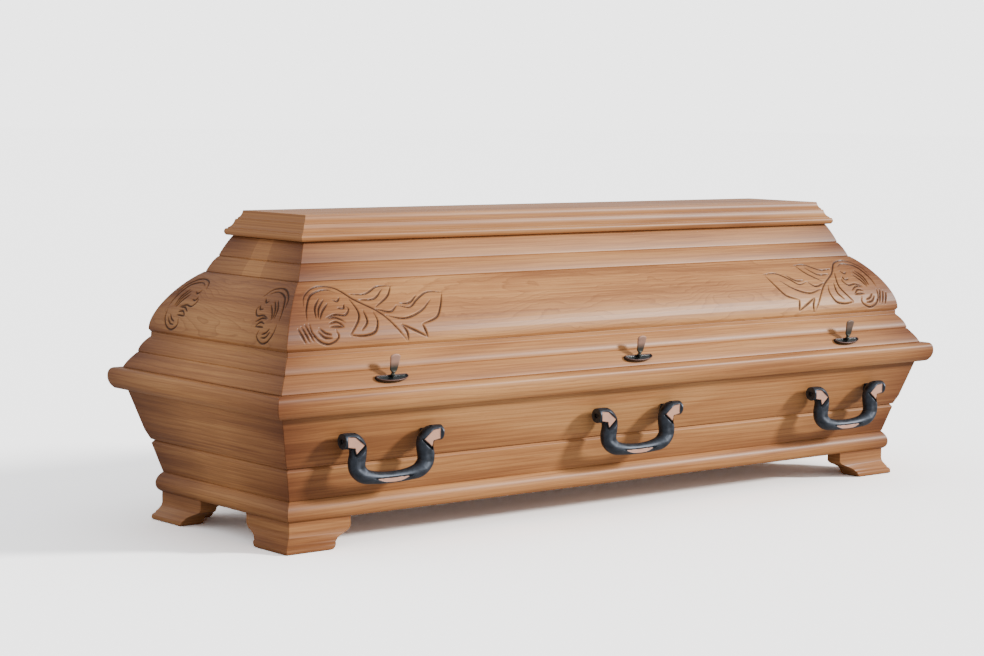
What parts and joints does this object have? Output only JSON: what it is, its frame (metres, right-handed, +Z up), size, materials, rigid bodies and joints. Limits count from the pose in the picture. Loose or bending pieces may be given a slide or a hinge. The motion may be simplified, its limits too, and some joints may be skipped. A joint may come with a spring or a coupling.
{
  "type": "wooden coffin",
  "caption": "Varnished wooden coffin with sloped walls, moulded frames, bracket feet, swinging handles and a raised, carved cushion lid held by wing screws",
  "frame": {"origin": "on the floor, under the middle of the coffin", "axes": "+X along the length, -Y towards the viewer of the carved front, +Z up"},
  "size_m": [2.064, 0.686, 0.708],
  "materials": {
    "varnished_wood": "satin varnish over a light brown stain",
    "floor_wood": "plain planed board",
    "gunmetal": "dark blue-grey patina, rubbed to copper on the raised flats",
    "dark_plate": "glossy near-black patina",
    "rubbed_copper": "copper flats fading to dark grey-green"
  },
  "bodies": {
    "coffin": {"lid_top_board": "varnished_wood", "lid_frieze_front": "varnished_wood", "lid_panel_front": "varnished_wood", "lid_moulding_front": "varnished_wood", "lid_frieze_back": "varnished_wood", "lid_panel_back": "varnished_wood", "lid_moulding_back": "varnished_wood", "lid_frieze_left": "varnished_wood", "lid_panel_left": "varnished_wood", "lid_moulding_left": "varnished_wood", "lid_frieze_right": "varnished_wood", "lid_panel_right": "varnished_wood", "lid_moulding_right": "varnished_wood", "base_rim_front": "varnished_wood", "base_wall_front": "varnished_wood", "base_plinth_front": "varnished_wood", "base_rim_back": "varnished_wood", "base_wall_back": "varnished_wood", "base_plinth_back": "varnished_wood", "base_rim_left": "varnished_wood", "base_wall_left": "varnished_wood", "base_plinth_left": "varnished_wood", "base_rim_right": "varnished_wood", "base_wall_right": "varnished_wood", "base_plinth_right": "varnished_wood", "foot_front_left": "varnished_wood", "foot_front_right": "varnished_wood", "foot_back_left": "varnished_wood", "foot_back_right": "varnished_wood", "base_floor": "floor_wood", "holder_front_1_a": "gunmetal", "holder_front_1_b": "gunmetal", "holder_front_2_a": "gunmetal", "holder_front_2_b": "gunmetal", "holder_front_3_a": "gunmetal", "holder_front_3_b": "gunmetal", "holder_back_1_a": "gunmetal", "holder_back_1_b": "gunmetal", "holder_back_2_a": "gunmetal", "holder_back_2_b": "gunmetal", "holder_back_3_a": "gunmetal", "holder_back_3_b": "gunmetal", "screw_plate_front_1": "dark_plate", "screw_plate_front_2": "dark_plate", "screw_plate_front_3": "dark_plate", "screw_plate_back_1": "dark_plate", "screw_plate_back_2": "dark_plate", "screw_plate_back_3": "dark_plate", "wing_screw_front_1": "rubbed_copper", "wing_screw_front_2": "rubbed_copper", "wing_screw_front_3": "rubbed_copper", "wing_screw_back_1": "rubbed_copper", "wing_screw_back_2": "rubbed_copper", "wing_screw_back_3": "rubbed_copper"},
    "handle_front_1": {"handle_front_1": "gunmetal"},
    "handle_front_2": {"handle_front_2": "gunmetal"},
    "handle_front_3": {"handle_front_3": "gunmetal"},
    "handle_back_1": {"handle_back_1": "gunmetal"},
    "handle_back_2": {"handle_back_2": "gunmetal"},
    "handle_back_3": {"handle_back_3": "gunmetal"}
  },
  "joints": [
    {"name": "handle_front_1_swing", "type": "hinge", "parent": "coffin", "child": "handle_front_1", "pos_m": [-0.722, -0.32, 0.24], "axis": [-1, 0, 0], "range_deg": [-22, 90]},
    {"name": "handle_front_2_swing", "type": "hinge", "parent": "coffin", "child": "handle_front_2", "pos_m": [0, -0.32, 0.24], "axis": [-1, 0, 0], "range_deg": [-22, 90]},
    {"name": "handle_front_3_swing", "type": "hinge", "parent": "coffin", "child": "handle_front_3", "pos_m": [0.722, -0.32, 0.24], "axis": [-1, 0, 0], "range_deg": [-22, 90]},
    {"name": "handle_back_1_swing", "type": "hinge", "parent": "coffin", "child": "handle_back_1", "pos_m": [0.722, 0.32, 0.24], "axis": [1, 0, 0], "range_deg": [-22, 90]},
    {"name": "handle_back_2_swing", "type": "hinge", "parent": "coffin", "child": "handle_back_2", "pos_m": [0, 0.32, 0.24], "axis": [1, 0, 0], "range_deg": [-22, 90]},
    {"name": "handle_back_3_swing", "type": "hinge", "parent": "coffin", "child": "handle_back_3", "pos_m": [-0.722, 0.32, 0.24], "axis": [1, 0, 0], "range_deg": [-22, 90]}
  ]
}
